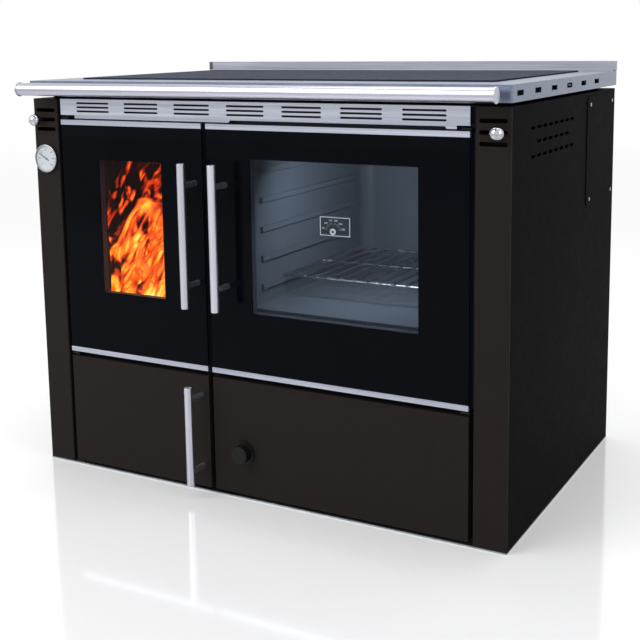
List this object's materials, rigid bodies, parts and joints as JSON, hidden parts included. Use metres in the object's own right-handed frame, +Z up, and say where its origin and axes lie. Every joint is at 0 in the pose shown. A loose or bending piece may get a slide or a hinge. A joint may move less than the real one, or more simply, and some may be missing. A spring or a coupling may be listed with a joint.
{
  "type": "boiler stove",
  "caption": "Free-standing kitchen boiler stove with a glass fire door, glass oven door, ash door, hob plate, hand rail and water jacket.",
  "frame": {"origin": "on the floor, under the middle of the casing, at the base pan's underside", "axes": "+Z up, +X to the right seen from the front, the doors face -Y"},
  "size_m": [1.0865, 0.8, 0.872],
  "materials": {
    "powder_brown": "brown-black powder coat, fine texture",
    "powder_black": "black powder coat, fine texture",
    "dark_steel": "black heat-resistant paint on steel",
    "galvanised_steel": "galvanised sheet",
    "zinc_screws": "zinc plated",
    "brushed_stainless": "brushed stainless steel",
    "polished_stainless": "satin-polished stainless steel",
    "chrome": "polished chrome",
    "dial_white": "printed white dial",
    "dial_steel": "printed metal scale plate",
    "needle_black": "black enamelled",
    "hob_glass": "black polished glass ceramic",
    "seal_rope": "woven glass-fibre sealing rope",
    "black_glass": "black printed glass",
    "clear_glass": "clear heat-resistant glass",
    "grey_enamel": "grey glazed enamel on steel",
    "cast_iron": "rough cast iron",
    "firebrick": "sandy vermiculite brick",
    "knob_black": "matt black heat-resistant plastic"
  },
  "bodies": {
    "casing": {"air_duct": "dark_steel", "ash_box": "dark_steel", "ash_pan": "dark_steel", "base_pan": "galvanised_steel", "boiler_jacket": "dark_steel", "casing_screws": "zinc_screws", "fire_grate": "cast_iron", "firebricks": "firebrick", "flue_side_cover": "powder_black", "flue_spigot": "dark_steel", "front_bulkhead": "dark_steel", "hand_rail": "polished_stainless", "hinge_brackets": "dark_steel", "hob_plate": "hob_glass", "hob_seal": "seal_rope", "left_post": "powder_brown", "left_side_panel": "powder_black", "levelling_screws": "zinc_screws", "lower_bulkhead": "dark_steel", "lower_panel": "powder_brown", "oven_box": "grey_enamel", "oven_rack": "chrome", "rail_fittings": "polished_stainless", "rear_panel": "galvanised_steel", "rear_upstand": "brushed_stainless", "right_post": "powder_brown", "right_side_panel": "powder_black", "rod_guides": "dark_steel", "smoke_casing": "dark_steel", "thermometer_case": "chrome", "thermometer_dial": "dial_white", "throat_plate": "cast_iron", "top_frame": "brushed_stainless", "top_spacer": "powder_black", "vent_strip": "brushed_stainless", "water_sockets": "dark_steel"},
    "fire_door": {"fire_door_facia": "black_glass", "fire_door_window": "clear_glass", "fire_door_frame": "dark_steel", "fire_door_gasket": "seal_rope", "fire_door_trims": "brushed_stainless", "fire_door_handle": "polished_stainless"},
    "oven_door": {"oven_door_facia": "black_glass", "oven_door_window": "clear_glass", "oven_door_frame": "dark_steel", "oven_door_inner_glass": "clear_glass", "oven_door_gasket": "seal_rope", "oven_door_trims": "brushed_stainless", "oven_door_handle": "polished_stainless", "oven_thermometer": "dial_steel"},
    "ash_door": {"ash_door_panel": "powder_brown", "ash_door_handle": "polished_stainless"},
    "boiler_pointer": {"boiler_needle": "needle_black"},
    "oven_pointer": {"oven_needle": "needle_black"},
    "damper": {"start_damper": "dark_steel", "damper_knob": "chrome"},
    "air_control": {"air_slide": "dark_steel", "air_knob": "chrome"},
    "regulator": {"regulator_knob": "knob_black", "regulator_spindle": "dark_steel"},
    "flap": {"air_flap": "dark_steel"}
  },
  "joints": [
    {"name": "fire_door_hinge", "type": "hinge", "parent": "casing", "child": "fire_door", "pos_m": [-0.4565, -0.3325, 0.514], "axis": [0, 0, -1], "range_deg": [0, 110]},
    {"name": "oven_door_hinge", "type": "hinge", "parent": "casing", "child": "oven_door", "pos_m": [0.4565, -0.3325, 0.514], "axis": [0, 0, 1], "range_deg": [0, 110]},
    {"name": "ash_door_hinge", "type": "hinge", "parent": "casing", "child": "ash_door", "pos_m": [-0.4565, -0.3325, 0.1293], "axis": [0, 0, -1], "range_deg": [0, 110]},
    {"name": "start_damper_slide", "type": "slide", "parent": "casing", "child": "damper", "axis": [0, -1, 0], "range_m": [0, 0.06]},
    {"name": "air_slide_travel", "type": "slide", "parent": "casing", "child": "air_control", "axis": [0, -1, 0], "range_m": [0, 0.06]},
    {"name": "regulator_turn", "type": "hinge", "parent": "casing", "child": "regulator", "pos_m": [-0.0215, -0.3425, 0.0994], "axis": [0, 1, 0], "range_deg": [0, 270]},
    {"name": "air_flap_hinge", "type": "hinge", "parent": "casing", "child": "flap", "pos_m": [-0.103, -0.1525, 0.148], "axis": [0, -1, 0], "range_deg": [0, 40]},
    {"name": "boiler_pointer_turn", "type": "hinge", "parent": "casing", "child": "boiler_pointer", "pos_m": [-0.507, -0.348, 0.6835], "axis": [0, 1, 0], "range_deg": [-75, 195]},
    {"name": "oven_pointer_turn", "type": "hinge", "parent": "oven_door", "child": "oven_pointer", "pos_m": [0.182, -0.325, 0.568], "axis": [0, 1, 0], "range_deg": [-75, 75]}
  ],
  "couplings": [
    {"joint": "air_flap_hinge", "follows": "regulator_turn", "ratio": 0.148}
  ]
}
